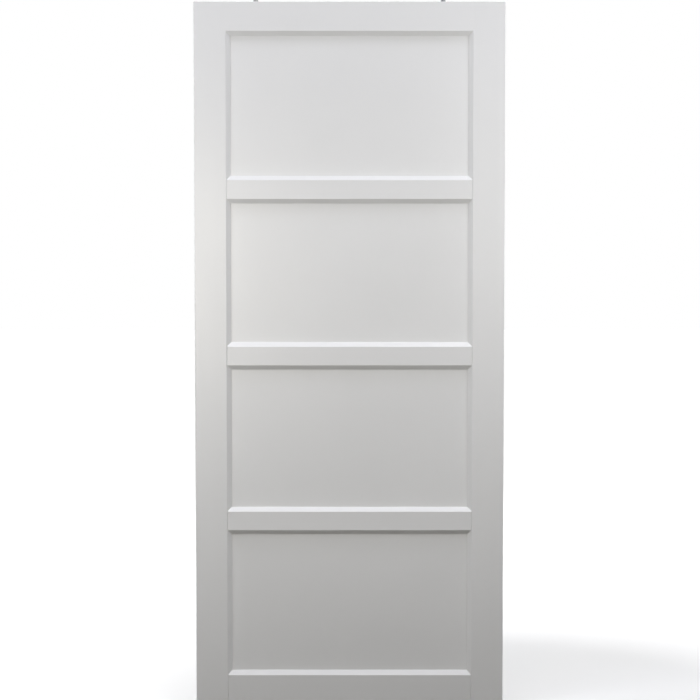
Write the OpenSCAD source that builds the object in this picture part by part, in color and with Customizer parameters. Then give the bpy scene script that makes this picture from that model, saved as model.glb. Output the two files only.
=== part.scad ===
// Sliding door: a painted four-panel leaf hung from a slotted box track.
// X runs along the track, Y from the front to the wall, Z up. The origin lies on the floor,
// under the middle of the track, at the centre of the floor guide. The leaf is drawn closed,
// to the left, and slides to the right.

/* [Leaf] */
// Width of the leaf
leaf_w = 930; // [800:5:1200]
// Height of the leaf
leaf_h = 2115; // [1900:5:2500]
// Thickness of the leaf
leaf_t = 40; // [36:1:50]
// Flat face of a stile, from the leaf's edge to the bevel
stile_face_w = 95; // [80:1:110]
// Flat face of the top rail and of the bottom rail
end_rail_face_w = 87; // [80:1:140]
// Flat face of a middle rail
mid_rail_face_w = 56; // [50:1:90]
// Width of the bevel round a panel, seen from the front
bevel_w = 13; // [9:0.5:18]
// Square edge left between the bevel and the panel
lip_t = 2; // [1:0.5:4]
// Thickness of a panel
panel_t = 12; // [9:1:16]
// Depth of the groove that holds a panel
groove_d = 11; // [8:0.5:14]
// Width of the open joint between a rail's face and a stile's face
v_joint_w = 2.5; // [1:0.25:4]
// Radius on the leaf's outer edges
arris_r = 2; // [0.5:0.25:4]
// Radius on the edge between a face and its bevel
stick_r = 1; // [0.25:0.25:2]

/* [Sliding] */
// Leaf that still covers the floor guide at both ends of the travel
guide_overlap = 50; // [40:1:80]
// Air under the leaf
floor_gap = 8; // [6:0.5:12]
// Air between the leaf's top edge and the track
track_gap = 14; // [8:0.5:16]
// Air between the leaf's back and the wall
wall_gap = 15; // [12:0.5:25]
// Leaf's edge to the middle of a carriage
hanger_inset = 185; // [175:5:260]

/* [Track] */
// Track beyond the leaf's edge at each end of the travel
track_past = 25; // [10:1:60]
// Width of the slot in the track's underside
slot_w = 13; // [12:0.5:16]
// Thickness of the track's side walls
track_wall = 2.6; // [2:0.1:4]
// Thickness of the lips that the wheels run on
track_lip_t = 3; // [2:0.1:5]
// Thickness of the track's top wall
track_top_t = 3.4; // [3:0.1:5]
// Room in the track above the wheels
track_head = 5.5; // [3:0.5:10]

/* [Carriages] */
// Diameter of a wheel
wheel_d = 22; // [20:0.5:28]
// Width of a wheel
wheel_w = 6.5; // [5:0.5:9]
// Diameter of an axle
axle_d = 5; // [4:0.25:6]
// Distance between the two axles of a carriage
axle_pitch = 44; // [42:1:56]
// Diameter of the suspension bolt
bolt_d = 8; // [6:0.25:9]
// Length of a mounting plate
plate_len = 100; // [90:1:120]
// Width of a mounting plate
plate_w = 28; // [26:0.5:30]
// Thickness of a mounting plate
plate_t = 4; // [3:0.25:6]

/* [Wall brackets] */
// Width of a bracket along the track
bracket_w = 40; // [34:1:60]
// Thickness of the bracket's sheet
bracket_t = 4; // [3:0.25:6]
// Height of the upright leg above the track
bracket_h = 44; // [40:1:70]
// Height of the wall hole above the track
wall_hole_h = 27; // [24:0.5:32]
// Diameter of the wall hole
wall_hole_d = 6.5; // [5:0.25:9]
// Track's end to the middle of the outer brackets
bracket_end = 60; // [40:1:120]

/* [End stops] */
// Length of a stop block
stop_len = 30; // [24:1:45]
// Height of a stop block above the lips
stop_h = 20; // [17:0.5:22]
// Length of the rubber buffer
buffer_len = 8; // [5:0.5:14]
// Diameter of the rubber buffer
buffer_d = 12; // [8:0.5:14]

/* [Floor guide] */
// Length of the guide's base along the track
base_len = 30; // [24:1:36]
// Width of the guide's base
base_w = 36; // [34:0.5:44]
// Thickness of the guide's base
base_t = 3.5; // [3:0.25:5]
// Distance between the floor screws
floor_hole_pitch = 24; // [22:0.5:25]
// Diameter of the floor holes
floor_hole_d = 4.5; // [3.5:0.25:5]
// Thickness of the fin
fin_t = 6; // [5:0.25:8]
// Length of the fin
fin_len = 18; // [14:1:22]
// Depth of the groove that the fin runs in
guide_groove_d = 20; // [16:0.5:24]

/* [Dowels] */
// Diameter of a dowel
dowel_d = 10; // [8:0.5:10]
// Length of a dowel
dowel_len = 100; // [70:2:120]
// Distance between the two dowels in an end of a middle rail
mid_dowel_pitch = 28; // [22:1:34]
// Distance between the two dowels in an end of the top or bottom rail
end_dowel_pitch = 36; // [26:1:38]
// Leaf's top or bottom edge to the nearest dowel
end_dowel_edge = 35; // [33:1:36]

/* [Hidden] */
$fn = 64;
// How far a cut runs past the face that it opens
overrun = 1;
// Straight pieces in an eased arris
arc_steps = 4;
// Rows of panels, and of middle rails between them
panel_count = 4;
rail_count = panel_count - 1;
axle_count = 4;

// Clearances
panel_fit = 0.1;
panel_edge_gap = 1;
tongue_gap = 0.5;
dowel_fit = 0.05;
dowel_end_gap = 2;
plate_fit = 0.2;
screw_fit = 0.1;
thread_fit = 0.1;
key_fit = 0.2;
axle_fit = 0.05;
wheel_fit = 0.02;
wheel_air = 0.3;
hub_air = 0.3;
wheel_side_air = 0.7;
body_slot_air = 1;
stop_fit = 0.4;
stop_air = 0.5;
buffer_fit = 0.1;
fin_gap = 0.5;
fin_top_gap = 6;

// Leaf: edges, the stiles' sight line and the panels' rows
leaf_x0 = guide_overlap / 2 - leaf_w;
leaf_x1 = guide_overlap / 2;
leaf_z0 = floor_gap;
leaf_z1 = floor_gap + leaf_h;
travel = leaf_w - guide_overlap;
groove_half = panel_t / 2 + panel_fit;
bevel_d = leaf_t / 2 - groove_half - lip_t;
bevel_slope = bevel_d / bevel_w;
bevel_turn = atan(bevel_slope);
stick_in = stick_r * tan(bevel_turn / 2);
sight_w = stile_face_w + bevel_w;
row_h = (leaf_h - 2 * end_rail_face_w - rail_count * mid_rail_face_w) / panel_count;
panel_w = leaf_w - 2 * sight_w + 2 * (groove_d - panel_edge_gap);
panel_h = row_h - 2 * bevel_w + 2 * (groove_d - panel_edge_gap);

// Dowels: heights of every dowel and the plane of the joint that they cross
joint_x = sight_w - groove_d;
end_dowels = [end_dowel_edge, end_dowel_edge + end_dowel_pitch];
dowel_zs = concat(
    [for (d = end_dowels) leaf_z1 - d],
    [for (i = [0:rail_count - 1], s = [-1, 1]) mid_rail_z(i) + s * mid_dowel_pitch / 2],
    [for (d = end_dowels) leaf_z0 + d]
);
dowel_tip = dowel_d / 8;

// Track: the channel is as wide as two wheels and the slot, and as high as a wheel
track_inner_w = slot_w + 2 * wheel_w + 4 * wheel_side_air;
track_w = track_inner_w + 2 * track_wall;
track_inner_h = wheel_air + wheel_d + track_head;
track_h = track_lip_t + track_inner_h + track_top_t;
track_len = 2 * (leaf_w - guide_overlap / 2 + track_past);
track_z0 = leaf_z1 + track_gap;
lip_z = track_z0 + track_lip_t;
ceiling_z = lip_z + track_inner_h;
track_z1 = track_z0 + track_h;
track_corner_r = track_wall / 2;

// Carriages: the body hangs between the wheels, a little lower than their tops
wheel_reveal = 2;
nose = 2;
axle_z = lip_z + wheel_air + wheel_d / 2;
wheel_y0 = slot_w / 2 + wheel_side_air;
wheel_y1 = wheel_y0 + wheel_w;
body_w = slot_w - 2 * body_slot_air;
body_h = wheel_d - 2 * wheel_reveal;
body_len = axle_pitch + wheel_d + 2 * nose;
body_corner_r = body_h / 3;
hub_wall = 2;
hub_d = axle_d + 2 * hub_wall;
boss_wall = 5;
boss_d = bolt_d + 2 * boss_wall;
wheel_edge = wheel_w / 10;
wheel_recess = wheel_w / 5;
wheel_rim_share = 0.78;
wheel_hub_share = 0.45;
axle_tip = axle_d / 10;
carriage_x = leaf_w / 2 - hanger_inset;
leaf_mid_x = (leaf_x0 + leaf_x1) / 2;

// Suspension bolt: hexagon and nut follow the thread's size
hex_share = 1.625;
head_h_share = 0.66;
nut_h_share = 0.8125;
hex_d = bolt_d * hex_share / cos(30);
head_h = bolt_d * head_h_share;
nut_h = bolt_d * nut_h_share;
bolt_end_gap = 3;
bolt_z0 = leaf_z1 - plate_t;
bolt_z1 = axle_z + body_h / 2 - bolt_end_gap;

// Mounting plate: a keyhole lets the bolt's head in, four screws hold it
plate_corner_r = 6;
key_d = hex_d + 2 * plate_fit;
key_slot_w = bolt_d + 2 * key_fit;
key_x = hex_d + plate_fit;
pocket_gap = 2;
pocket_w = key_d + pocket_gap;
pocket_d = head_h + 2 * pocket_gap;
plate_screw_d = 4.5;
plate_screw_head_d = 8.6;
plate_screw_head_h = 2.4;
plate_screw_len = 30;
plate_screw_inset = 12;
plate_screw_gauge = 14;
plate_hole_d = plate_screw_d + 2 * screw_fit;
plate_sink_d = plate_screw_head_d + 2 * screw_fit;

// Brackets: bent from sheet, spaced evenly along the track
bracket_shares = [-1, -1 / 3, 1 / 3, 1];
bracket_bend_r = 3;
bracket_setback = 3;
bracket_clip = 6;
bracket_gusset = 12;
bracket_screw_pitch = 20;
bracket_screw_d = 3.5;
bracket_screw_head_d = 6.8;
bracket_screw_head_h = 1.8;
bracket_screw_past = 1;
bracket_hole_d = bracket_screw_d + 2 * screw_fit;
bracket_sink_d = bracket_screw_head_d + 2 * screw_fit;
wall_y = leaf_t / 2 + wall_gap;
bend_outer_r = bracket_bend_r + bracket_t;
bracket_y0 = bracket_setback - track_w / 2;

// Stops: clamped in the channel by a set screw that bears on its ceiling
set_screw_d = 6;
set_screw_lift = 2;
set_screw_socket = 3;
set_screw_socket_d = 4;
stem_len = 8;
stem_d = 5;
buffer_nose_share = 0.75;
stop_face_x = carriage_x - leaf_mid_x + body_len / 2 + stop_air + buffer_len;

// Floor guide
base_corner_r = 4;
floor_sink_share = 1.9;
floor_sink_d = floor_hole_d * floor_sink_share;
floor_sink_h = base_t / 2;
guide_groove_w = fin_t + 2 * fin_gap;
fin_z1 = leaf_z0 + guide_groove_d - fin_top_gap;

paint = [0.94, 0.94, 0.93];
zinc = [0.72, 0.73, 0.75];
alloy = [0.80, 0.81, 0.82];
nylon = [0.16, 0.16, 0.17];
rubber = [0.07, 0.07, 0.07];
beech = [0.80, 0.64, 0.45];

rail_names = ["upper_mid_rail", "centre_mid_rail", "lower_mid_rail"];
side_names = ["left", "right"];
side_signs = [-1, 1];

function mid_rail_z(i) =
    leaf_z1 - end_rail_face_w - (i + 1) * row_h - (i + 0.5) * mid_rail_face_w;

function panel_z(i) =
    leaf_z1 - end_rail_face_w - (i + 0.5) * row_h - i * mid_rail_face_w;

function hanger_x(side) = leaf_mid_x + side * carriage_x;

function axle_x(i) =
    hanger_x(side_signs[floor(i / 2)]) + side_signs[i % 2] * axle_pitch / 2;

function bracket_x(i) = bracket_shares[i] * (track_len / 2 - bracket_end);

function arc(centre, r, from, to) = [
    for (i = [0:arc_steps])
        let (a = from + (to - from) * i / arc_steps)
        centre + r * [cos(a), sin(a)]
];

// Moulded edge of a stile or rail, from its front face round the panel groove to its back face
function moulded_edge(face_w) = concat(
    arc([face_w - stick_in, stick_r - leaf_t / 2], stick_r, -90, bevel_turn - 90),
    [
        [face_w + bevel_w, -groove_half - lip_t],
        [face_w + bevel_w, -groove_half],
        [face_w + bevel_w - groove_d, -groove_half],
        [face_w + bevel_w - groove_d, groove_half],
        [face_w + bevel_w, groove_half],
        [face_w + bevel_w, groove_half + lip_t]
    ],
    arc([face_w - stick_in, leaf_t / 2 - stick_r], stick_r, 90 - bevel_turn, 90)
);

function flip(points) = [
    for (i = [len(points) - 1:-1:0]) [-points[i][0], points[i][1]]
];

function front_to_rear(points) = [
    for (i = [len(points) - 1:-1:0]) [points[i][0], -points[i][1]]
];

// Section of a stile, or of the top or bottom rail: one plain edge and one moulded edge
module outer_section(face_w) {
    polygon(concat(
        moulded_edge(face_w),
        arc([arris_r, leaf_t / 2 - arris_r], arris_r, 90, 180),
        arc([arris_r, arris_r - leaf_t / 2], arris_r, 180, 270)
    ));
}

// Section of a middle rail: moulded on both edges
module middle_section() {
    polygon(concat(
        moulded_edge(mid_rail_face_w / 2),
        flip(moulded_edge(mid_rail_face_w / 2))
    ));
}

// Lays a section on its side, so that its first axis points up, and runs it across the leaf
module across_leaf() {
    translate([leaf_x1, 0, 0])
        rotate([0, -90, 0])
            linear_extrude(leaf_w)
                children();
}

// Space that a stile takes from the end of a rail, open by joint_w at the face, where the rail's
// own edge is eased
module cope_section(joint_w) {
    end_x = stile_face_w + joint_w;
    ease = min(joint_w, stick_r) / 2;
    front = concat(
        [[-overrun, -leaf_t / 2 - overrun], [end_x + ease + overrun, -leaf_t / 2 - overrun]],
        ease > 0 ? [[end_x, ease - leaf_t / 2]] : [],
        [
            [end_x, joint_w * bevel_slope - leaf_t / 2],
            [sight_w, -groove_half - lip_t],
            [sight_w, -groove_half],
            [joint_x + tongue_gap, -groove_half]
        ]
    );
    polygon(concat(front, front_to_rear(front)));
}

// Cuts both ends of a rail to fit over the stiles' bevel and into their groove
module coped(joint_w) {
    difference() {
        children();
        for (side = [0, 1])
            translate([side == 0 ? leaf_x0 : leaf_x1, 0, leaf_z0 - overrun])
                mirror([side, 0, 0])
                    linear_extrude(leaf_h + 2 * overrun)
                        cope_section(joint_w);
        dowel_bores();
    }
}

module at_dowels() {
    for (x = [leaf_x0 + joint_x, leaf_x1 - joint_x], z = dowel_zs)
        translate([x, 0, z])
            rotate([0, 90, 0])
                children();
}

module dowel_bores() {
    at_dowels()
        cylinder(d = dowel_d + 2 * dowel_fit, h = dowel_len + 2 * dowel_end_gap, center = true);
}

module guide_groove() {
    translate([leaf_x0 - overrun, -guide_groove_w / 2, leaf_z0 - overrun])
        cube([leaf_w + 2 * overrun, guide_groove_w, guide_groove_d + overrun]);
}

// Side view of the leaf's edges, eased at the top and the bottom
module eased_ends() {
    translate([leaf_x0 - overrun, 0, 0])
        rotate([90, 0, 90])
            linear_extrude(leaf_w + 2 * overrun)
                polygon(concat(
                    arc([leaf_t / 2 - arris_r, leaf_z0 + arris_r], arris_r, -90, 0),
                    arc([leaf_t / 2 - arris_r, leaf_z1 - arris_r], arris_r, 0, 90),
                    arc([arris_r - leaf_t / 2, leaf_z1 - arris_r], arris_r, 90, 180),
                    arc([arris_r - leaf_t / 2, leaf_z0 + arris_r], arris_r, 180, 270)
                ));
}

module stile(side) {
    color(paint)
        difference() {
            intersection() {
                translate([side < 0 ? leaf_x0 : leaf_x1, 0, leaf_z0])
                    mirror([side < 0 ? 0 : 1, 0, 0])
                        linear_extrude(leaf_h)
                            outer_section(stile_face_w);
                eased_ends();
            }
            dowel_bores();
            guide_groove();
        }
}

module top_rail() {
    color(paint)
        difference() {
            coped(0)
                translate([0, 0, leaf_z1])
                    mirror([0, 0, 1])
                        across_leaf()
                            outer_section(end_rail_face_w);
            for (side = side_signs)
                plate_seat(side);
        }
}

module mid_rail(i) {
    color(paint)
        coped(v_joint_w)
            translate([0, 0, mid_rail_z(i)])
                across_leaf()
                    middle_section();
}

module bottom_rail() {
    color(paint)
        difference() {
            coped(v_joint_w)
                translate([0, 0, leaf_z0])
                    across_leaf()
                        outer_section(end_rail_face_w);
            guide_groove();
        }
}

module panel(i) {
    color(paint)
        translate([leaf_mid_x, 0, panel_z(i)])
            cube([panel_w, panel_t, panel_h], center = true);
}

module dowels() {
    color(beech)
        at_dowels()
            rotate_extrude()
                polygon([
                    [0, -dowel_len / 2],
                    [dowel_d / 2 - dowel_tip, -dowel_len / 2],
                    [dowel_d / 2, dowel_tip - dowel_len / 2],
                    [dowel_d / 2, dowel_len / 2 - dowel_tip],
                    [dowel_d / 2 - dowel_tip, dowel_len / 2],
                    [0, dowel_len / 2]
                ]);
}

// Rectangle with round corners, centred
module round_rect(length, width, r) {
    square([length - 2 * r, width], center = true);
    square([length, width - 2 * r], center = true);
    for (x = [-1, 1], y = [-1, 1])
        translate([x * (length / 2 - r), y * (width / 2 - r)])
            circle(r);
}

// Slot with round ends between two points on the first axis
module round_slot(from, to, width) {
    translate([from, -width / 2])
        square([to - from, width]);
    for (x = [from, to])
        translate([x, 0])
            circle(d = width);
}

// Countersunk screw that points down, with its head's top at zero
module countersunk_screw(d, head_d, head_h, length) {
    rotate_extrude()
        polygon([
            [0, 0],
            [head_d / 2, 0],
            [d / 2, -head_h],
            [d / 2, d / 2 - length],
            [0, -length]
        ]);
}

// Countersunk hole of the given sizes, from a face at zero down
module countersunk_hole(d, sink_d, sink_h, length) {
    rotate_extrude()
        polygon([
            [0, overrun],
            [sink_d / 2, overrun],
            [sink_d / 2, 0],
            [d / 2, -sink_h],
            [d / 2, -length],
            [0, -length]
        ]);
}

module at_plate_screws() {
    for (x = [-1, 1], y = [-1, 1])
        translate([x * (plate_len / 2 - plate_screw_inset), y * plate_screw_gauge / 2, 0])
            children();
}

// Recess for a mounting plate in the top rail, with room below for the bolt's head
module plate_seat(side) {
    translate([hanger_x(side), 0, leaf_z1]) {
        translate([0, 0, -plate_t])
            linear_extrude(plate_t + overrun)
                round_rect(plate_len + 2 * plate_fit, plate_w + 2 * plate_fit, plate_corner_r + plate_fit);
        translate([0, 0, -plate_t - pocket_d])
            linear_extrude(pocket_d + overrun)
                round_slot(0, key_x, pocket_w);
        at_plate_screws()
            translate([0, 0, -plate_screw_len - screw_fit])
                cylinder(d = plate_hole_d, h = plate_screw_len);
    }
}

module plate(side) {
    color(zinc)
        translate([hanger_x(side), 0, leaf_z1])
            difference() {
                translate([0, 0, -plate_t])
                    linear_extrude(plate_t)
                        difference() {
                            round_rect(plate_len, plate_w, plate_corner_r);
                            round_slot(0, key_x, key_slot_w);
                            translate([key_x, 0])
                                circle(d = key_d);
                        }
                at_plate_screws()
                    countersunk_hole(
                        plate_hole_d, plate_sink_d, plate_screw_head_h, plate_t + overrun
                    );
            }
}

module plate_screws(side) {
    color(zinc)
        translate([hanger_x(side), 0, leaf_z1])
            at_plate_screws()
                countersunk_screw(
                    plate_screw_d, plate_screw_head_d, plate_screw_head_h, plate_screw_len
                );
}

module hexagon(height) {
    cylinder(d = hex_d, h = height, $fn = 6);
}

module bolt(side) {
    color(zinc)
        translate([hanger_x(side), 0, bolt_z0]) {
            translate([0, 0, -head_h])
                hexagon(head_h);
            translate([0, 0, -head_h / 2])
                cylinder(d = bolt_d, h = bolt_z1 - bolt_z0 + head_h / 2);
        }
}

module lock_nut(side) {
    color(zinc)
        translate([hanger_x(side), 0, leaf_z1])
            difference() {
                hexagon(nut_h);
                translate([0, 0, -overrun])
                    cylinder(d = bolt_d + 2 * thread_fit, h = nut_h + 2 * overrun);
            }
}

// Turns a shape drawn upright so that its axis runs from front to back
module front_to_back() {
    rotate([-90, 0, 0])
        children();
}

module carriage(side) {
    color(zinc)
        translate([hanger_x(side), 0, axle_z])
            difference() {
                union() {
                    front_to_back()
                        linear_extrude(body_w, center = true)
                            round_rect(body_len, body_h, body_corner_r);
                    for (x = [-1, 1])
                        translate([x * axle_pitch / 2, 0, 0])
                            front_to_back()
                                cylinder(d = hub_d, h = 2 * (wheel_y0 - hub_air), center = true);
                    cylinder(d = boss_d, h = body_h, center = true);
                }
                cylinder(d = bolt_d + 2 * thread_fit, h = body_h + 2 * overrun, center = true);
                for (x = [-1, 1])
                    translate([x * axle_pitch / 2, 0, 0])
                        front_to_back()
                            cylinder(d = axle_d + 2 * axle_fit, h = track_w, center = true);
            }
}

module axle(i) {
    color(zinc)
        translate([axle_x(i), 0, axle_z])
            front_to_back()
                rotate_extrude()
                    polygon([
                        [0, -wheel_y1],
                        [axle_d / 2 - axle_tip, -wheel_y1],
                        [axle_d / 2, axle_tip - wheel_y1],
                        [axle_d / 2, wheel_y1 - axle_tip],
                        [axle_d / 2 - axle_tip, wheel_y1],
                        [0, wheel_y1]
                    ]);
}

// Wheel with a recessed outer face; side -1 is the front one
module wheel(i, side) {
    color(nylon)
        translate([axle_x(i), side * wheel_y0, axle_z])
            rotate([side * -90, 0, 0])
                rotate_extrude()
                    polygon([
                        [axle_d / 2 + wheel_fit, 0],
                        [wheel_d / 2 - wheel_edge, 0],
                        [wheel_d / 2, wheel_edge],
                        [wheel_d / 2, wheel_w - wheel_edge],
                        [wheel_d / 2 - wheel_edge, wheel_w],
                        [wheel_d / 2 * wheel_rim_share, wheel_w],
                        [wheel_d / 2 * wheel_rim_share, wheel_w - wheel_recess],
                        [wheel_d / 2 * wheel_hub_share, wheel_w - wheel_recess],
                        [wheel_d / 2 * wheel_hub_share, wheel_w],
                        [axle_d / 2 + wheel_fit, wheel_w]
                    ]);
}

// Runs a section drawn in the side view along the track, centred
module along_track(length) {
    rotate([90, 0, 90])
        linear_extrude(length, center = true)
            children();
}

module at_bracket_screws(i) {
    for (x = [-1, 1])
        translate([bracket_x(i) + x * bracket_screw_pitch / 2, 0, ceiling_z])
            mirror([0, 0, 1])
                children();
}

module track() {
    inner = track_inner_w / 2;
    outer = track_w / 2;
    color(alloy)
        difference() {
            along_track(track_len)
                polygon(concat(
                    [[slot_w / 2, lip_z], [slot_w / 2, track_z0], [outer, track_z0]],
                    arc([outer - track_corner_r, track_z1 - track_corner_r], track_corner_r, 0, 90),
                    arc([track_corner_r - outer, track_z1 - track_corner_r], track_corner_r, 90, 180),
                    [[-outer, track_z0], [-slot_w / 2, track_z0], [-slot_w / 2, lip_z]],
                    [[-inner, lip_z], [-inner, ceiling_z], [inner, ceiling_z], [inner, lip_z]]
                ));
            for (i = [0:len(bracket_shares) - 1])
                at_bracket_screws(i)
                    countersunk_hole(
                        bracket_hole_d, bracket_sink_d, bracket_screw_head_h, track_top_t + overrun
                    );
        }
}

// Side view of a bracket: a leg on the track, a bend, and an upright against the wall
module bracket_section() {
    bend_y = wall_y - bend_outer_r;
    translate([bracket_y0, 0])
        square([bend_y - bracket_y0, bracket_t]);
    translate([wall_y - bracket_t, bend_outer_r])
        square([bracket_t, bracket_h - bend_outer_r]);
    translate([bend_y, bend_outer_r])
        intersection() {
            difference() {
                circle(bend_outer_r);
                circle(bracket_bend_r);
            }
            translate([0, -bend_outer_r])
                square(bend_outer_r);
        }
}

// Three-sided stiffener in the bracket's bend
module gusset_section() {
    corner = [wall_y - bracket_t, bracket_t];
    polygon([corner, corner + [0, bracket_gusset], corner - [bracket_gusset, 0]]);
}

// Corner cut off a sheet, as a prism along the third axis
module clipped_corner(depth) {
    rotate([0, 0, 45])
        cube([bracket_clip * sqrt(2), bracket_clip * sqrt(2), depth], center = true);
}

module bracket(i) {
    color(zinc)
        difference() {
            translate([bracket_x(i), 0, track_z1])
                difference() {
                    union() {
                        along_track(bracket_w)
                            bracket_section();
                        along_track(bracket_t)
                            gusset_section();
                    }
                    for (x = [-1, 1]) {
                        translate([x * bracket_w / 2, bracket_y0, bracket_t / 2])
                            clipped_corner(bracket_t + 2 * overrun);
                        translate([x * bracket_w / 2, wall_y - bracket_t / 2, bracket_h])
                            rotate([90, 0, 0])
                                clipped_corner(bracket_t + 2 * overrun);
                    }
                    translate([0, wall_y - bracket_t / 2, wall_hole_h])
                        front_to_back()
                            cylinder(d = wall_hole_d, h = bracket_t + 2 * overrun, center = true);
                }
            at_bracket_screws(i)
                translate([0, 0, -track_top_t - bracket_t - overrun])
                    cylinder(d = bracket_hole_d, h = bracket_t + 2 * overrun);
        }
}

module bracket_screws() {
    color(zinc)
        for (i = [0:len(bracket_shares) - 1])
            at_bracket_screws(i)
                countersunk_screw(
                    bracket_screw_d, bracket_screw_head_d, bracket_screw_head_h,
                    track_top_t + bracket_t + bracket_screw_past
                );
}

// Puts a piece drawn against the right-hand stop's face at that end of the track
module at_stop(side) {
    mirror([side < 0 ? 1 : 0, 0, 0])
        translate([stop_face_x, 0, 0])
            children();
}

module stop(side) {
    color(alloy)
        at_stop(side)
            difference() {
                translate([stop_len / 2, 0, 0])
                    along_track(stop_len) {
                        translate([stop_fit - track_inner_w / 2, lip_z])
                            square([track_inner_w - 2 * stop_fit, stop_h]);
                        translate([stop_fit - slot_w / 2, track_z0])
                            square([slot_w - 2 * stop_fit, track_lip_t + stop_h / 2]);
                    }
                translate([stop_len / 2, 0, track_z0 - overrun])
                    cylinder(d = set_screw_d + 2 * thread_fit, h = track_lip_t + stop_h + 2 * overrun);
                translate([-overrun, 0, axle_z])
                    rotate([0, 90, 0])
                        cylinder(d = stem_d + 2 * buffer_fit, h = stem_len + buffer_fit + overrun);
            }
}

module stop_screws() {
    color(zinc)
        for (side = side_signs)
            at_stop(side)
                translate([stop_len / 2, 0, track_z0 + set_screw_lift])
                    difference() {
                        cylinder(d = set_screw_d, h = ceiling_z - track_z0 - set_screw_lift);
                        translate([0, 0, -overrun])
                            cylinder(d = set_screw_socket_d, h = set_screw_socket + overrun, $fn = 6);
                    }
}

module buffer(side) {
    color(rubber)
        at_stop(side)
            translate([0, 0, axle_z])
                rotate([0, 90, 0])
                    rotate_extrude()
                        polygon([
                            [0, -buffer_len],
                            [buffer_d / 2 * buffer_nose_share, -buffer_len],
                            [buffer_d / 2, -buffer_len / 2],
                            [buffer_d / 2, 0],
                            [stem_d / 2, 0],
                            [stem_d / 2, stem_len],
                            [0, stem_len]
                        ]);
}

module floor_guide() {
    color(nylon)
        difference() {
            union() {
                linear_extrude(base_t)
                    round_rect(base_len, base_w, base_corner_r);
                linear_extrude(fin_z1)
                    round_slot((fin_t - fin_len) / 2, (fin_len - fin_t) / 2, fin_t);
            }
            for (y = [-1, 1])
                translate([0, y * floor_hole_pitch / 2, base_t])
                    countersunk_hole(floor_hole_d, floor_sink_d, floor_sink_h, base_t + overrun);
        }
}

stile(-1);  // left_stile
stile(1);  // right_stile
top_rail();
for (i = [0:rail_count - 1])
    mid_rail(i);
bottom_rail();
for (i = [0:panel_count - 1])
    panel(i);
dowels();
for (k = [0, 1]) {
    plate(side_signs[k]);
    plate_screws(side_signs[k]);
    bolt(side_signs[k]);
    lock_nut(side_signs[k]);
    carriage(side_signs[k]);
}
for (i = [0:axle_count - 1]) {
    axle(i);
    wheel(i, -1);
    wheel(i, 1);
}
track();
for (i = [0:len(bracket_shares) - 1])
    bracket(i);
bracket_screws();
stop_screws();
for (k = [0, 1]) {
    stop(side_signs[k]);
    buffer(side_signs[k]);
}
floor_guide();
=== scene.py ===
import math

import bpy
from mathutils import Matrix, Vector


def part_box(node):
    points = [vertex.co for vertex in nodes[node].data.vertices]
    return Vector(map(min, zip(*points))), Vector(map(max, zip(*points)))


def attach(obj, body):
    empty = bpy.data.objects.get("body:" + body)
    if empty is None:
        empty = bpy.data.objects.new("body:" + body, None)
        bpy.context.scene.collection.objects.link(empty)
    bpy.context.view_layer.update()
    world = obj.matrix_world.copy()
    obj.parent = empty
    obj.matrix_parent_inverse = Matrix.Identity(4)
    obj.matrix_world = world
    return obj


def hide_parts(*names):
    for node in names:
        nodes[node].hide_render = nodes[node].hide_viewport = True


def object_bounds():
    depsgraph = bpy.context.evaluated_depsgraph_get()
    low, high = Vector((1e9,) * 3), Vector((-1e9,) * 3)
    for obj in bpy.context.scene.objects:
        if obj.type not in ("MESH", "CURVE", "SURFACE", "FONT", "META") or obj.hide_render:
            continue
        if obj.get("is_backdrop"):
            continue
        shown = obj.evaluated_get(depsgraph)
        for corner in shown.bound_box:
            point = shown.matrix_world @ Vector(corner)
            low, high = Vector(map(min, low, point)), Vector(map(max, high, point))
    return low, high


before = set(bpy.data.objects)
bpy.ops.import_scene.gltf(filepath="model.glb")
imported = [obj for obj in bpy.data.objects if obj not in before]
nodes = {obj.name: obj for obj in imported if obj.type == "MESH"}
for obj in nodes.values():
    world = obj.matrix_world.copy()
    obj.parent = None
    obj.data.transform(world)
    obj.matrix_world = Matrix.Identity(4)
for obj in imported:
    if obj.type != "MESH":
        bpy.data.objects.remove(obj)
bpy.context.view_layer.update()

# Stiles: the two uprights of the leaf, laminated timber faced with board, bevelled towards the
# panels on a spindle moulder and grooved for them. They are sprayed white with a satin paint, whose
# faint waves run the way the boards were sanded, along the stile.


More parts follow.
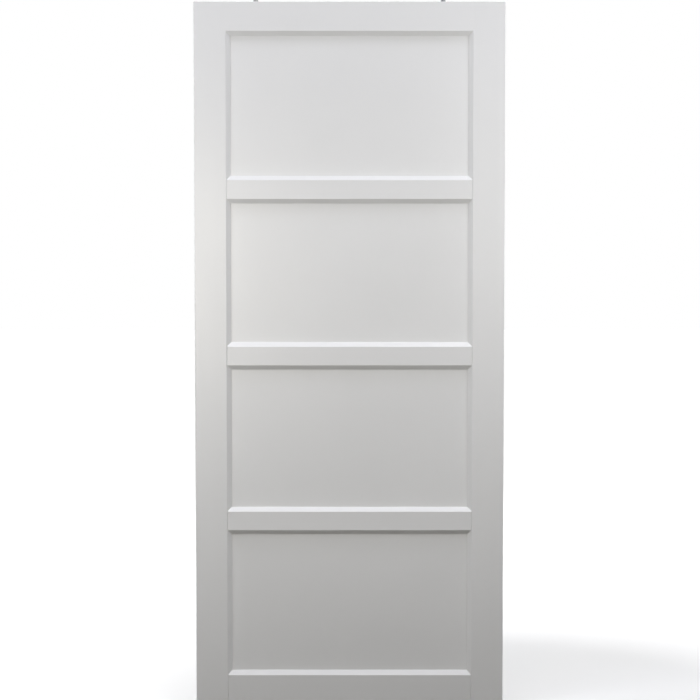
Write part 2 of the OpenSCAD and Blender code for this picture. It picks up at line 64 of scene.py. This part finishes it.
def finish(name, dark, light, sheen, metallic, patches, grains, relief, stretch=(1, 1, 1)):
    """A skin whose tone and sheen drift over patches, under a fine grain.

    dark and light are the tones that it drifts between, sheen its least and its most roughness,
    patches and grains how many of them go to a metre, relief the grain's depth, and stretch how
    often they repeat along each axis.
    """
    made = bpy.data.materials.new(name)
    made.use_nodes = True
    tree = made.node_tree
    surface = tree.nodes["Principled BSDF"]
    surface.inputs["Metallic"].default_value = metallic
    place = tree.nodes.new("ShaderNodeTexCoord")
    squeeze = tree.nodes.new("ShaderNodeMapping")
    squeeze.inputs["Scale"].default_value = stretch
    tree.links.new(place.outputs["Object"], squeeze.inputs["Vector"])
    cloud_low, cloud_high = 0.3, 0.7
    sheen_patches = 4 * patches

    def drift(count, detail, low, high):
        """A cloud with so many patches to a metre, spread from low to high."""
        cloud = tree.nodes.new("ShaderNodeTexNoise")
        cloud.inputs["Scale"].default_value = count
        cloud.inputs["Detail"].default_value = detail
        tree.links.new(squeeze.outputs["Vector"], cloud.inputs["Vector"])
        spread = tree.nodes.new("ShaderNodeMapRange")
        spread.inputs["From Min"].default_value = cloud_low
        spread.inputs["From Max"].default_value = cloud_high
        spread.inputs["To Min"].default_value = low
        spread.inputs["To Max"].default_value = high
        tree.links.new(cloud.outputs["Fac"], spread.inputs["Value"])
        return spread.outputs["Result"]

    tone = tree.nodes.new("ShaderNodeMix")
    tone.data_type = "RGBA"
    tone.inputs["A"].default_value = (*dark, 1)
    tone.inputs["B"].default_value = (*light, 1)
    tree.links.new(drift(patches, detail=3, low=0, high=1), tone.inputs["Factor"])
    tree.links.new(tone.outputs["Result"], surface.inputs["Base Color"])
    dullness = drift(sheen_patches, detail=2, low=sheen[0], high=sheen[1])
    tree.links.new(dullness, surface.inputs["Roughness"])
    skin = tree.nodes.new("ShaderNodeBump")
    skin.inputs["Distance"].default_value = relief
    tree.links.new(drift(grains, detail=2, low=0, high=1), skin.inputs["Height"])
    tree.links.new(skin.outputs["Normal"], surface.inputs["Normal"])
    return made


def dress(material, slot, *names):
    """Gives pieces their material. The slot is not used."""
    for name in names:
        nodes[name].data.materials.clear()
        nodes[name].data.materials.append(material)


satin_paint = {
    "dark": (0.83, 0.83, 0.825), "light": (0.85, 0.85, 0.845), "sheen": (0.28, 0.33),
    "metallic": 0, "grains": 600, "relief": 0.00003,
}
stile_paint = finish("stile_paint", **satin_paint, patches=4, stretch=(1, 1, 0.2))
dress(stile_paint, "white_paint", "left_stile", "right_stile")

# Rails: the five crosspieces, moulded like the stiles and coped at both ends to fit over the stiles'
# bevel. The middle and bottom ones stop a little short of the stiles' faces, which leaves an open
# V-joint. The same paint was sprayed along them.

rail_paint = finish("rail_paint", **satin_paint, patches=4, stretch=(0.2, 1, 1))
mid_rails = ["upper_mid_rail", "centre_mid_rail", "lower_mid_rail"]
dress(rail_paint, "white_paint", "top_rail", *mid_rails, "bottom_rail")

# Panels: four flat boards that float in the grooves of stiles and rails, painted before the leaf
# was put together. A board has no grain, so its paint drifts the same all ways.

panel_paint = finish("panel_paint", **satin_paint, patches=3)
dress(panel_paint, "white_paint", "panel_1", "panel_2", "panel_3", "panel_4")

# Dowels: turned beech pegs with pressed flutes and tapered tips, glued across each joint between a
# stile and a rail, two to a rail's end.


def put(tree, kind, *ordered, **named):
    """Adds a node and returns its first output. Inputs are filled in order or by name, with a value
    or with another node's output, and names in small letters are the node's own settings."""
    node = tree.nodes.new(kind)
    settings = [name for name in named if name.islower()]
    for name in settings:
        setattr(node, name, named.pop(name))
    filled = list(zip(node.inputs, ordered))
    filled += [(node.inputs[name.replace("_", " ")], value) for name, value in named.items()]
    for socket, value in filled:
        for each in value if isinstance(value, list) else [value]:
            if isinstance(each, bpy.types.NodeSocket):
                tree.links.new(each, socket)
            else:
                socket.default_value = each
    return node.outputs[0]


def reckon(tree, how, *terms):
    """The outcome of one sum, such as MULTIPLY, on values or on other nodes' outputs."""
    return put(tree, "ShaderNodeMath", *terms, operation=how)


def new_tree(name, *sizes):
    """A node tree with inputs for the places, the turn, the spin and the material, and one for each
    size. Returns the tree and its inputs by name."""
    tree = bpy.data.node_groups.new(name, "GeometryNodeTree")
    kinds = {"Places": "Geometry", "Turn": "Vector", "Spin": "Float", "Material": "Material"}
    for size in (*kinds, *sizes):
        kind = "NodeSocket" + kinds.get(size, "Float")
        tree.interface.new_socket(size, in_out="INPUT", socket_type=kind)
    tree.interface.new_socket("Pieces", in_out="OUTPUT", socket_type="NodeSocketGeometry")
    given = tree.nodes.new("NodeGroupInput")
    return tree, {socket.name: socket for socket in given.outputs if socket.name}


def set_in_place(tree, given, piece, seed=7):
    """Sets a copy of the piece at each place, turned, and spun about its own axis by chance."""
    spin = put(tree, "ShaderNodeCombineXYZ", 0, 0, given["Spin"])
    most = put(tree, "ShaderNodeVectorMath", given["Turn"], spin, operation="ADD")
    turn = put(
        tree, "FunctionNodeRandomValue",
        data_type="FLOAT_VECTOR", Min=given["Turn"], Max=most, Seed=seed,
    )
    copies = put(
        tree, "GeometryNodeInstanceOnPoints", Points=given["Places"], Instance=piece, Rotation=turn
    )
    solid = put(tree, "GeometryNodeRealizeInstances", copies)
    painted = put(tree, "GeometryNodeSetMaterial", solid, Material=given["Material"])
    out = tree.nodes.new("NodeGroupOutput")
    tree.links.new(painted, out.inputs[0])


def make(name, tree, places, body, stands_for, slot, **sizes):
    """Runs the tree on the places, keeps the outcome as a plain mesh and sets it on its body."""
    cloud = bpy.data.meshes.new(name)
    cloud.from_pydata(places, [], [])
    maker = bpy.data.objects.new(name + "_places", cloud)
    bpy.context.scene.collection.objects.link(maker)
    modifier = maker.modifiers.new("make", "NODES")
    modifier.node_group = tree
    for socket in tree.interface.items_tree:
        size = socket.name.replace(" ", "_")
        if size in sizes:
            modifier[socket.identifier] = sizes[size]
    built = maker.evaluated_get(bpy.context.evaluated_depsgraph_get())
    mesh = bpy.data.meshes.new_from_object(built)
    bpy.data.objects.remove(maker)
    crisp_turn = math.radians(32)
    mesh.shade_smooth()
    mesh.set_sharp_from_angle(angle=crisp_turn)
    piece = bpy.data.objects.new(name, mesh)
    bpy.context.scene.collection.objects.link(piece)
    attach(piece, body)
    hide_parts(*stands_for)


beech = finish(
    "beech", dark=(0.60, 0.42, 0.25), light=(0.80, 0.62, 0.42), sheen=(0.50, 0.62), metallic=0,
    patches=260, grains=900, relief=0.00005, stretch=(0.06, 1, 1),
)
flutes, points_to_a_flute, dowel_rows = 15, 4, 8
dowel_tree, given = new_tree("fluted_dowel", "Diameter", "Length", "Flute", "Tip")
peg = put(
    dowel_tree, "GeometryNodeMeshCylinder",
    Vertices=points_to_a_flute * flutes, Side_Segments=dowel_rows, Radius=1.0, Depth=given["Length"],
)
x, y, z = put(
    dowel_tree, "ShaderNodeSeparateXYZ", put(dowel_tree, "GeometryNodeInputPosition")
).node.outputs
around = reckon(dowel_tree, "MULTIPLY", reckon(dowel_tree, "ARCTAN2", y, x), flutes)
pressed = reckon(dowel_tree, "MULTIPLY", reckon(dowel_tree, "COSINE", around), given["Flute"])
half_length = reckon(dowel_tree, "MULTIPLY", given["Length"], 0.5)
to_end = reckon(dowel_tree, "SUBTRACT", half_length, reckon(dowel_tree, "ABSOLUTE", z))
taper = reckon(dowel_tree, "MAXIMUM", reckon(dowel_tree, "SUBTRACT", given["Tip"], to_end), 0)
crest = reckon(dowel_tree, "MULTIPLY", given["Diameter"], 0.5)
mean = reckon(dowel_tree, "SUBTRACT", crest, given["Flute"])
reach = reckon(dowel_tree, "SUBTRACT", mean, reckon(dowel_tree, "ADD", pressed, taper))
placed = put(
    dowel_tree, "ShaderNodeCombineXYZ",
    reckon(dowel_tree, "MULTIPLY", x, reach), reckon(dowel_tree, "MULTIPLY", y, reach), z,
)
peg = put(dowel_tree, "GeometryNodeSetPosition", peg, Position=placed)
set_in_place(dowel_tree, given, peg)

leaf_low, leaf_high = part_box("left_stile")[0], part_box("right_stile")[1]
dowel_inset, end_dowel_edge, end_dowel_pitch, mid_dowel_pitch = 0.097, 0.035, 0.036, 0.028
second_dowel = end_dowel_edge + end_dowel_pitch
heights = [
    leaf_high.z - end_dowel_edge, leaf_high.z - second_dowel,
    leaf_low.z + end_dowel_edge, leaf_low.z + second_dowel,
]
for rail in mid_rails:
    middle = sum(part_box(rail), Vector()) / 2
    heights += [middle.z - mid_dowel_pitch / 2, middle.z + mid_dowel_pitch / 2]
make(
    "fluted_dowels", dowel_tree,
    [(x, 0, z) for x in (leaf_low.x + dowel_inset, leaf_high.x - dowel_inset) for z in heights],
    body="leaf", stands_for=["dowels"], slot="beech",
    Turn=(0, math.pi / 2, 0), Spin=0.0, Material=beech,
    Diameter=0.010, Length=0.100, Flute=0.0002, Tip=0.00125,
)

# Mounting plates: stamped steel, zinc plated, let in flush with the leaf's top edge. Each has a
# keyhole for the suspension bolt's head and four countersunk wood screws.


def soften(*names, width):
    """Joins doubled corners, clears the lines across flat faces and rubs the sharp edges off, as
    plating and tumbling do."""
    same_place, flat_turn, sharp_turn = 0.000005, math.radians(0.5), math.radians(35)
    for name in names:
        weld = nodes[name].modifiers.new("weld", "WELD")
        weld.merge_threshold = same_place
        flat = nodes[name].modifiers.new("flat", "DECIMATE")
        flat.decimate_type = "DISSOLVE"
        flat.angle_limit = flat_turn
        edge = nodes[name].modifiers.new("edge", "BEVEL")
        edge.width = width
        edge.segments = 2
        edge.angle_limit = sharp_turn
        edge.harden_normals = True


def threaded_rod(tree, diameter, pitch, depth, length, tip, blunt):
    """A rod about the origin with a right-hand thread, whose lower end runs out over the tip to the
    blunt share of its radius."""
    points_around, rows_to_a_turn = 32, 8
    rows = reckon(tree, "MULTIPLY", reckon(tree, "DIVIDE", length, pitch), rows_to_a_turn)
    rod = put(
        tree, "GeometryNodeMeshCylinder",
        Vertices=points_around, Side_Segments=rows, Radius=1.0, Depth=length,
    )
    x, y, z = put(
        tree, "ShaderNodeSeparateXYZ", put(tree, "GeometryNodeInputPosition")
    ).node.outputs
    turned = reckon(tree, "DIVIDE", reckon(tree, "ARCTAN2", y, x), 2 * math.pi)
    phase = reckon(tree, "SUBTRACT", reckon(tree, "DIVIDE", z, pitch), turned)
    cut = reckon(tree, "MULTIPLY", reckon(tree, "PINGPONG", phase, 0.5), 2)
    crest = reckon(tree, "MULTIPLY", diameter, 0.5)
    reach = reckon(tree, "SUBTRACT", crest, reckon(tree, "MULTIPLY", cut, depth))
    from_end = reckon(tree, "ADD", z, reckon(tree, "MULTIPLY", length, 0.5))
    left = put(
        tree, "ShaderNodeMapRange", from_end, From_Min=0.0, From_Max=tip, To_Min=blunt, To_Max=1.0
    )
    reach = reckon(tree, "MULTIPLY", reach, left)
    placed = put(
        tree, "ShaderNodeCombineXYZ",
        reckon(tree, "MULTIPLY", x, reach), reckon(tree, "MULTIPLY", y, reach), z,
    )
    return put(tree, "GeometryNodeSetPosition", rod, Position=placed)


def lifted(tree, piece, height, turn=(0, 0, 0)):
    """The piece, turned about the origin and then raised."""
    up = put(tree, "ShaderNodeCombineXYZ", 0, 0, height)
    return put(tree, "GeometryNodeTransform", piece, Translation=up, Rotation=turn)


zinc = finish(
    "zinc_plate", dark=(0.27, 0.28, 0.30), light=(0.39, 0.39, 0.39), sheen=(0.46, 0.56), metallic=1,
    patches=40, grains=700, relief=0.000003,
)
dress(zinc, "zinc_steel", "left_plate", "right_plate")
soften("left_plate", "right_plate", width=0.0003)

ring_points = 48
neck_share, slim_share, deep_share, point_share = 0.45, 0.24, 0.8, 0.04
screw_tree, given = new_tree(
    "countersunk_screw",
    "Head Diameter", "Head Height", "Diameter", "Length", "Pitch", "Thread", "Recess", "Tip",
)
crown = put(
    screw_tree, "GeometryNodeMeshCone",
    Vertices=ring_points, Depth=given["Head Height"],
    Radius_Top=reckon(screw_tree, "MULTIPLY", given["Head Diameter"], 0.5),
    Radius_Bottom=reckon(screw_tree, "MULTIPLY", given["Diameter"], neck_share),
)
crown = lifted(screw_tree, crown, reckon(screw_tree, "MULTIPLY", given["Head Height"], -1))
slim = reckon(screw_tree, "MULTIPLY", given["Recess"], slim_share)
deep = reckon(screw_tree, "MULTIPLY", given["Recess"], deep_share)
wings = [
    put(
        screw_tree, "GeometryNodeMeshCube",
        Size=put(screw_tree, "ShaderNodeCombineXYZ", *across, deep),
    )
    for across in ((given["Recess"], slim), (slim, given["Recess"]))
]
crown = put(
    screw_tree, "GeometryNodeMeshBoolean",
    operation="DIFFERENCE", solver="EXACT", Mesh_1=crown, Mesh_2=wings,
)
below = reckon(screw_tree, "SUBTRACT", given["Length"], given["Head Height"])
shank = threaded_rod(
    screw_tree, given["Diameter"], given["Pitch"], given["Thread"], below, given["Tip"], point_share
)
middle = reckon(
    screw_tree, "MULTIPLY", reckon(screw_tree, "ADD", given["Length"], given["Head Height"]), -0.5
)
screw = put(
    screw_tree, "GeometryNodeJoinGeometry", [crown, lifted(screw_tree, shank, middle)]
)
set_in_place(screw_tree, given, screw)

screw_along, screw_across = 0.038, 0.007
for side in ("left", "right"):
    low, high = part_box(side + "_plate")
    centre = (low + high) / 2
    make(
        side + "_wood_screws", screw_tree,
        [
            (centre.x + x, y, high.z)
            for x in (-screw_along, screw_along)
            for y in (-screw_across, screw_across)
        ],
        body="leaf", stands_for=[side + "_plate_screws"], slot="zinc_steel",
        Turn=(0, 0, 0), Spin=2 * math.pi, Material=zinc, Head_Diameter=0.0086, Head_Height=0.0024,
        Diameter=0.0045, Length=0.030, Pitch=0.0018, Thread=0.0007, Recess=0.0046, Tip=0.006,
    )

# Suspension bolts: zinc-plated steel bolts whose hexagon heads hook under the plates' keyholes and
# whose shanks screw up into the carriages. Turning one lifts or lowers that end of the leaf, and a
# nut locks it.


def chamfered_hexagon(tree, across, height, ends):
    """A hexagon standing on z 0, measured across its corners, which are turned off at one end or at
    both."""
    turned_share, chamfer_slope = 0.425, 1.73
    block = put(
        tree, "GeometryNodeMeshCylinder",
        Vertices=6, Radius=reckon(tree, "MULTIPLY", across, 0.5), Depth=height,
    )
    block = lifted(tree, block, reckon(tree, "MULTIPLY", height, 0.5))
    narrow = reckon(tree, "MULTIPLY", across, turned_share)
    wide = reckon(tree, "ADD", narrow, reckon(tree, "MULTIPLY", height, chamfer_slope))
    for upper in ends:
        turning = put(
            tree, "GeometryNodeMeshCone",
            Vertices=ring_points, Depth=height,
            Radius_Bottom=wide if upper else narrow, Radius_Top=narrow if upper else wide,
        )
        block = put(
            tree, "GeometryNodeMeshBoolean",
            operation="INTERSECT", solver="EXACT", Mesh_2=[block, turning],
        )
    return block


blunt_share, bore_excess = 0.8, 3
bolt_tree, given = new_tree(
    "suspension_bolt", "Across", "Head Height", "Diameter", "Length", "Pitch", "Thread"
)
head = chamfered_hexagon(bolt_tree, given["Across"], given["Head Height"], [False])
head = lifted(bolt_tree, head, reckon(bolt_tree, "MULTIPLY", given["Head Height"], -1))
shank = threaded_rod(
    bolt_tree, given["Diameter"], given["Pitch"], given["Thread"], given["Length"],
    given["Thread"], blunt_share,
)
shank = lifted(
    bolt_tree, shank, reckon(bolt_tree, "MULTIPLY", given["Length"], 0.5), (math.pi, 0, 0)
)
set_in_place(bolt_tree, given, put(bolt_tree, "GeometryNodeJoinGeometry", [head, shank]))

nut_tree, given = new_tree("lock_nut", "Across", "Height", "Bore")
nut = chamfered_hexagon(nut_tree, given["Across"], given["Height"], [False, True])
bore = put(
    nut_tree, "GeometryNodeMeshCylinder",
    Vertices=ring_points, Depth=reckon(nut_tree, "MULTIPLY", given["Height"], bore_excess),
    Radius=reckon(nut_tree, "MULTIPLY", given["Bore"], 0.5),
)
nut = put(
    nut_tree, "GeometryNodeMeshBoolean",
    operation="DIFFERENCE", solver="EXACT", Mesh_1=nut, Mesh_2=bore,
)
set_in_place(nut_tree, given, nut)

bolt_boxes = [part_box("left_bolt"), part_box("right_bolt")]
across_corners, head_height = 0.0150, 0.00528
heads_top = bolt_boxes[0][0].z + head_height
make(
    "suspension_bolts", bolt_tree,
    [((low.x + high.x) / 2, 0, heads_top) for low, high in bolt_boxes],
    body="leaf", stands_for=["left_bolt", "right_bolt"], slot="zinc_steel",
    Turn=(0, 0, 0), Spin=0.0, Material=zinc, Across=across_corners, Head_Height=head_height,
    Diameter=0.008, Length=bolt_boxes[0][1].z - heads_top, Pitch=0.00125, Thread=0.00068,
)
make(
    "lock_nuts", nut_tree,
    [((low.x + high.x) / 2, 0, leaf_high.z) for low, high in bolt_boxes],
    body="leaf", stands_for=["left_lock_nut", "right_lock_nut"], slot="zinc_steel",
    Turn=(0, 0, 0), Spin=0.0, Material=zinc, Across=across_corners, Height=0.0065, Bore=0.0081,
)

# Carriages: zinc die castings, tumbled smooth, that run inside the track. Each carries two steel
# axles, and each axle a pair of moulded nylon wheels that turn with it.

casting = finish(
    "die_casting", dark=(0.30, 0.30, 0.31), light=(0.38, 0.38, 0.39), sheen=(0.42, 0.55), metallic=1,
    patches=60, grains=1500, relief=0.00004,
)
dress(casting, "die_cast_zinc", "left_carriage", "right_carriage")
soften("left_carriage", "right_carriage", width=0.0006)
nylon = finish(
    "nylon", dark=(0.030, 0.030, 0.033), light=(0.045, 0.045, 0.048), sheen=(0.38, 0.50), metallic=0,
    patches=80, grains=1400, relief=0.00002,
)
for number in range(1, 5):
    wheels = [f"front_wheel_{number}", f"back_wheel_{number}"]
    dress(zinc, "zinc_steel", f"axle_{number}")
    dress(nylon, "nylon", *wheels)
    soften(*wheels, width=0.0002)

# Track: one length of extruded aluminium, a box with a slot along its underside, satin anodised. The
# die leaves fine lines along it.

alloy = finish(
    "anodised_alloy", dark=(0.29, 0.30, 0.31), light=(0.36, 0.37, 0.38), sheen=(0.50, 0.58),
    metallic=1, patches=50, grains=1500, relief=0.000003, stretch=(0.01, 1, 1),
)
dress(alloy, "alloy", "track")
soften("track", width=0.0003)

# Wall brackets: bent from zinc-plated strip, stiffened by a pressed web, and screwed to the track from
# inside it with countersunk machine screws that end just above the bracket's foot.

brackets = [f"bracket_{number}" for number in range(1, 5)]
dress(zinc, "zinc_steel", *brackets)
soften(*brackets, width=0.0003)
track_top_wall, screw_offset = 0.0034, 0.010
track_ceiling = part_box("track")[1].z - track_top_wall
make(
    "machine_screws", screw_tree,
    [
        (sum(box, Vector()).x / 2 + x, 0, track_ceiling)
        for box in map(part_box, brackets)
        for x in (-screw_offset, screw_offset)
    ],
    body="fixed_gear", stands_for=["bracket_screws"], slot="zinc_steel",
    Turn=(math.pi, 0, 0), Spin=2 * math.pi, Material=zinc, Head_Diameter=0.0068, Head_Height=0.0018,
    Diameter=0.0035, Length=0.0084, Pitch=0.0006, Thread=0.00035, Recess=0.0036, Tip=0.0001,
)

# End stops: sawn blocks of the same alloy, clamped in the track by a socket set screw that bears on
# its ceiling, each with a rubber buffer pushed into its face.

stops = ["left_stop", "right_stop"]
dress(alloy, "alloy", *stops)
soften(*stops, width=0.0004)
rubber = finish(
    "rubber", dark=(0.012, 0.012, 0.012), light=(0.022, 0.022, 0.022), sheen=(0.65, 0.80), metallic=0,
    patches=90, grains=1800, relief=0.00004,
)
dress(rubber, "rubber", "left_buffer", "right_buffer")
soften("left_buffer", "right_buffer", width=0.0008)

set_tree, given = new_tree(
    "socket_set_screw", "Diameter", "Length", "Pitch", "Thread", "Socket", "Socket Depth"
)
rod = threaded_rod(
    set_tree, given["Diameter"], given["Pitch"], given["Thread"], given["Length"],
    given["Thread"], blunt_share,
)
rod = lifted(set_tree, rod, reckon(set_tree, "MULTIPLY", given["Length"], 0.5))
key = put(
    set_tree, "GeometryNodeMeshCylinder",
    Vertices=6, Radius=reckon(set_tree, "MULTIPLY", given["Socket"], 0.5),
    Depth=reckon(set_tree, "MULTIPLY", given["Socket Depth"], 2),
)
rod = put(
    set_tree, "GeometryNodeMeshBoolean",
    operation="DIFFERENCE", solver="EXACT", Mesh_1=rod, Mesh_2=key,
)
set_in_place(set_tree, given, rod)

screws_low, screws_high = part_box("stop_screws")
make(
    "set_screws", set_tree,
    [(sum(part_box(stop), Vector()).x / 2, 0, screws_low.z) for stop in stops],
    body="fixed_gear", stands_for=["stop_screws"], slot="zinc_steel",
    Turn=(0, 0, 0), Spin=1.0, Material=zinc, Diameter=0.006, Length=screws_high.z - screws_low.z,
    Pitch=0.001, Thread=0.0005, Socket=0.004, Socket_Depth=0.003,
)

# Floor guide: one nylon moulding, a base with two countersunk holes and a fin that runs in the groove
# in the leaf's bottom edge.

dress(nylon, "nylon", "floor_guide")
soften("floor_guide", width=0.0004)

# Studio: a plain pale floor under soft lamps and a softly lit ceiling. To the camera and in reflections
# the floor and the surroundings are white, and the floor still takes the door's shadow. It throws
# little light back up, so the undersides stay dark.


def seen(tree):
    """A factor that is 1 for camera, glossy and transmission rays, and 0 for light that falls on
    things."""
    ways = tree.nodes.new("ShaderNodeLightPath").outputs
    shown = reckon(tree, "MAXIMUM", ways["Is Camera Ray"], ways["Is Glossy Ray"])
    return reckon(tree, "MAXIMUM", shown, ways["Is Transmission Ray"])


floor_reach = 30
floor_corners = [(-1, -1), (1, -1), (1, 1), (-1, 1)]
floor_mesh = bpy.data.meshes.new("floor")
floor_mesh.from_pydata(
    [(x * floor_reach, y * floor_reach, 0) for x, y in floor_corners], [], [(0, 1, 2, 3)]
)
floor = bpy.data.objects.new("floor", floor_mesh)
bpy.context.scene.collection.objects.link(floor)
floor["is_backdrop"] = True
pale = bpy.data.materials.new("pale_floor")
pale.use_nodes = True
tree = pale.node_tree
tree.nodes.clear()
near, far, near_glow, far_glow = 0.8, 2.2, 0.22, 1.0
seen_tone, thrown_tone, pure_white = (0.85, 0.85, 0.85, 1), (0.07, 0.07, 0.07, 1), (1, 1, 1, 1)
place = tree.nodes.new("ShaderNodeTexCoord").outputs["Object"]
away = put(tree, "ShaderNodeVectorMath", place, operation="LENGTH").node.outputs["Value"]
glow = put(
    tree, "ShaderNodeMapRange", away, From_Min=near, From_Max=far, To_Min=near_glow, To_Max=far_glow
)
white = put(
    tree, "ShaderNodeAddShader",
    put(tree, "ShaderNodeBsdfDiffuse", Color=seen_tone),
    put(tree, "ShaderNodeEmission", Color=pure_white, Strength=glow),
)
grey = put(tree, "ShaderNodeBsdfDiffuse", Color=thrown_tone)
ground = put(tree, "ShaderNodeMixShader", seen(tree), grey, white)
tree.links.new(ground, tree.nodes.new("ShaderNodeOutputMaterial").inputs["Surface"])
floor_mesh.materials.append(pale)

world = bpy.data.worlds.new("studio")
world.use_nodes = True
bpy.context.scene.world = world
tree = world.node_tree
tree.nodes.clear()
ceiling_glow, ceiling_tone = 0.04, (1, 0.96, 0.9, 1)
outward = tree.nodes.new("ShaderNodeTexCoord").outputs["Generated"]
height = put(tree, "ShaderNodeSeparateXYZ", outward).node.outputs["Z"]
ceiling = put(
    tree, "ShaderNodeMapRange", height, From_Min=0, From_Max=1, To_Min=0, To_Max=ceiling_glow
)
sky = put(
    tree, "ShaderNodeMixShader", seen(tree),
    put(tree, "ShaderNodeBackground", Color=ceiling_tone, Strength=ceiling),
    put(tree, "ShaderNodeBackground", Color=pure_white, Strength=1.0),
)
tree.links.new(sky, tree.nodes.new("ShaderNodeOutputWorld").inputs["Surface"])

# Lamps: rectangular soft lamps in front of the leaf, above it, at its sides and behind it. Each has
# its place, what it is aimed at, its length and width, its watts and its tint.

cool, plain, warm = (0.89, 0.91, 1), (1, 1, 1), (1, 0.95, 0.82)
lamps = {
    "left_softbox": ((-2.6, -2.0, 3.0), (-0.1, 0, 1.2), (2.4, 1.8), 25, cool),
    "right_softbox": ((1.8, -2.0, 3.0), (-0.2, 0, 1.2), (2.4, 1.8), 19, cool),
    "left_side_lamp": ((-1.75, -0.9, 1.35), (-0.80, 0, 1.35), (0.5, 0.9), 5.5, plain),
    "right_side_lamp": ((0.87, -0.9, 1.65), (-0.08, 0, 1.65), (0.5, 0.9), 6.6, plain),
    "ceiling_lamp": ((-0.44, -0.9, 4.2), (-0.44, -0.8, 0), (3.0, 0.8), 38, cool),
    "left_camera_lamp": ((-1.5, -4.6, 1.35), (-0.44, 0, 1.2), (0.8, 0.8), 32, warm),
    "right_camera_lamp": ((0.66, -4.6, 1.5), (-0.44, 0, 1.2), (0.8, 0.8), 7, warm),
    "rear_left_softbox": ((-1.9, 2.8, 2.4), (-0.1, 0, 1.2), (3.6, 2.4), 62, plain),
    "rear_right_softbox": ((1.9, 2.8, 2.4), (0.1, 0, 1.2), (3.6, 2.4), 62, plain),
}
for name, (at, aim, (length, width), watts, tint) in lamps.items():
    light = bpy.data.lights.new(name, "AREA")
    light.shape = "RECTANGLE"
    light.size, light.size_y = length, width
    light.energy = watts
    light.color = tint
    lamp = bpy.data.objects.new(name, light)
    lamp.location = at
    lamp.rotation_euler = (Vector(aim) - Vector(at)).to_track_quat("-Z", "Y").to_euler()
    lamp.visible_camera = False
    bpy.context.scene.collection.objects.link(lamp)

# Camera: square on to the closed leaf, five metres off, a little above its middle and tilted down
# by a few degrees.

focal_length, sensor_width = 85.594, 36
distance, aside, eye_height, tilt = 5.0, 0.0015, 1.3353, 2.878
lens = bpy.data.cameras.new("camera")
lens.lens, lens.sensor_width = focal_length, sensor_width
camera = bpy.data.objects.new("camera", lens)
camera.location = ((leaf_low.x + leaf_high.x) / 2 + aside, leaf_low.y - distance, eye_height)
camera.rotation_euler = (math.radians(90 - tilt), 0, 0)
bpy.context.scene.collection.objects.link(camera)
bpy.context.scene.camera = camera
bpy.context.scene.view_settings.view_transform = "Standard"

low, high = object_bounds()
